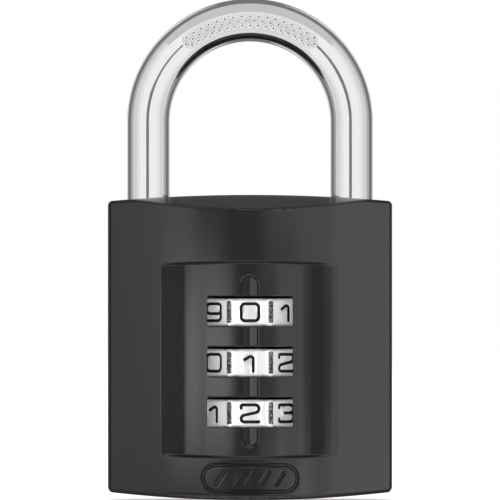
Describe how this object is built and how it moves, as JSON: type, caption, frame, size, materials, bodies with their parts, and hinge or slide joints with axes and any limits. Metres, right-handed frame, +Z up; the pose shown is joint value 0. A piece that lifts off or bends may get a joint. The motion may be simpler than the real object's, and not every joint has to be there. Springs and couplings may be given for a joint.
{
  "type": "combination padlock",
  "caption": "Resettable dial combination padlock with a chrome shackle, black crowned case and engraved number wheels.",
  "frame": {"origin": "bottom centre of the closed lock's bounding box, under the lowest point of the case", "axes": "+Z up through the shackle, -Y out of the dial face, +X to the right seen from the front"},
  "size_m": [0.04, 0.0214, 0.0705],
  "materials": {
    "body_shell": "semi-gloss black lacquer on die-cast zinc",
    "rear_cover": "semi-gloss black lacquer on die-cast zinc",
    "cover_rivets": "blackened steel, ground flush",
    "shackle": "polished chrome plate on hardened steel",
    "shackle_retaining_pin": "hardened steel, plain",
    "code_spindle": "zinc plated",
    "heel_bolt": "hardened steel, ground",
    "toe_bolt": "hardened steel, ground",
    "bolt_guide_plate": "stamped steel",
    "number_wheel_1": "nickel plated die-cast zinc, digits filled black",
    "code_sleeve_1": "turned brass",
    "click_spring_1": "spring steel strip",
    "number_wheel_2": "nickel plated die-cast zinc, digits filled black",
    "code_sleeve_2": "turned brass",
    "click_spring_2": "spring steel strip",
    "number_wheel_3": "nickel plated die-cast zinc, digits filled black",
    "code_sleeve_3": "turned brass",
    "click_spring_3": "spring steel strip",
    "reset_plate": "stamped steel",
    "stack_washer": "stamped steel",
    "spindle_spring": "spring wire",
    "stack_spring": "spring wire",
    "reset_spring": "spring wire"
  },
  "bodies": {
    "casing": {"body_shell": "body_shell", "rear_cover": "rear_cover", "cover_rivets": "cover_rivets", "shackle_retaining_pin": "shackle_retaining_pin", "bolt_guide_plate": "bolt_guide_plate", "click_spring_1": "click_spring_1", "click_spring_2": "click_spring_2", "click_spring_3": "click_spring_3", "spindle_spring": "spindle_spring", "stack_spring": "stack_spring", "reset_spring": "reset_spring"},
    "shackle": {"shackle": "shackle"},
    "spindle": {"code_spindle": "code_spindle"},
    "heel_bolt": {"heel_bolt": "heel_bolt"},
    "toe_bolt": {"toe_bolt": "toe_bolt"},
    "change_carriage": {"reset_plate": "reset_plate", "stack_washer": "stack_washer"},
    "dial_1": {"number_wheel_1": "number_wheel_1"},
    "sleeve_1": {"code_sleeve_1": "code_sleeve_1"},
    "dial_2": {"number_wheel_2": "number_wheel_2"},
    "sleeve_2": {"code_sleeve_2": "code_sleeve_2"},
    "dial_3": {"number_wheel_3": "number_wheel_3"},
    "sleeve_3": {"code_sleeve_3": "code_sleeve_3"}
  },
  "joints": [
    {"name": "shackle_lift", "type": "slide", "parent": "casing", "child": "shackle", "axis": [0, 0, 1], "range_m": [0, 0.013]},
    {"name": "spindle_drop", "type": "slide", "parent": "casing", "child": "spindle", "axis": [0, 0, -1], "range_m": [0, 0.005], "deforming": ["spindle_spring"]},
    {"name": "heel_bolt_retract", "type": "slide", "parent": "casing", "child": "heel_bolt", "axis": [1, 0, 0], "range_m": [0, 0.0026]},
    {"name": "toe_bolt_retract", "type": "slide", "parent": "casing", "child": "toe_bolt", "axis": [-1, 0, 0], "range_m": [0, 0.0026]},
    {"name": "change_press", "type": "slide", "parent": "casing", "child": "change_carriage", "axis": [0, 0, -1], "range_m": [0, 0.002], "stiffness_N_per_m": 300, "springref_m": -0.003, "deforming": ["reset_spring", "stack_spring"]},
    {"name": "dial_1_turn", "type": "hinge", "parent": "casing", "child": "dial_1", "pos_m": [0, -0.001, 0], "axis": [0, 0, 1], "continuous": true, "deforming": ["click_spring_1"]},
    {"name": "dial_2_turn", "type": "hinge", "parent": "casing", "child": "dial_2", "pos_m": [0, -0.001, 0], "axis": [0, 0, 1], "continuous": true, "deforming": ["click_spring_2"]},
    {"name": "dial_3_turn", "type": "hinge", "parent": "casing", "child": "dial_3", "pos_m": [0, -0.001, 0], "axis": [0, 0, 1], "continuous": true, "deforming": ["click_spring_3"]},
    {"name": "sleeve_1_shift", "type": "slide", "parent": "dial_1", "child": "sleeve_1", "axis": [0, 0, -1], "range_m": [0, 0.002]},
    {"name": "sleeve_2_shift", "type": "slide", "parent": "dial_2", "child": "sleeve_2", "axis": [0, 0, -1], "range_m": [0, 0.002]},
    {"name": "sleeve_3_shift", "type": "slide", "parent": "dial_3", "child": "sleeve_3", "axis": [0, 0, -1], "range_m": [0, 0.002]}
  ],
  "couplings": [
    {"joint": "spindle_drop", "follows": "shackle_lift", "ratio": 0.38462},
    {"joint": "heel_bolt_retract", "follows": "shackle_lift", "ratio": 0.2},
    {"joint": "toe_bolt_retract", "follows": "shackle_lift", "ratio": 0.2},
    {"joint": "sleeve_1_shift", "follows": "change_press", "ratio": 1},
    {"joint": "sleeve_2_shift", "follows": "change_press", "ratio": 1},
    {"joint": "sleeve_3_shift", "follows": "change_press", "ratio": 1}
  ]
}
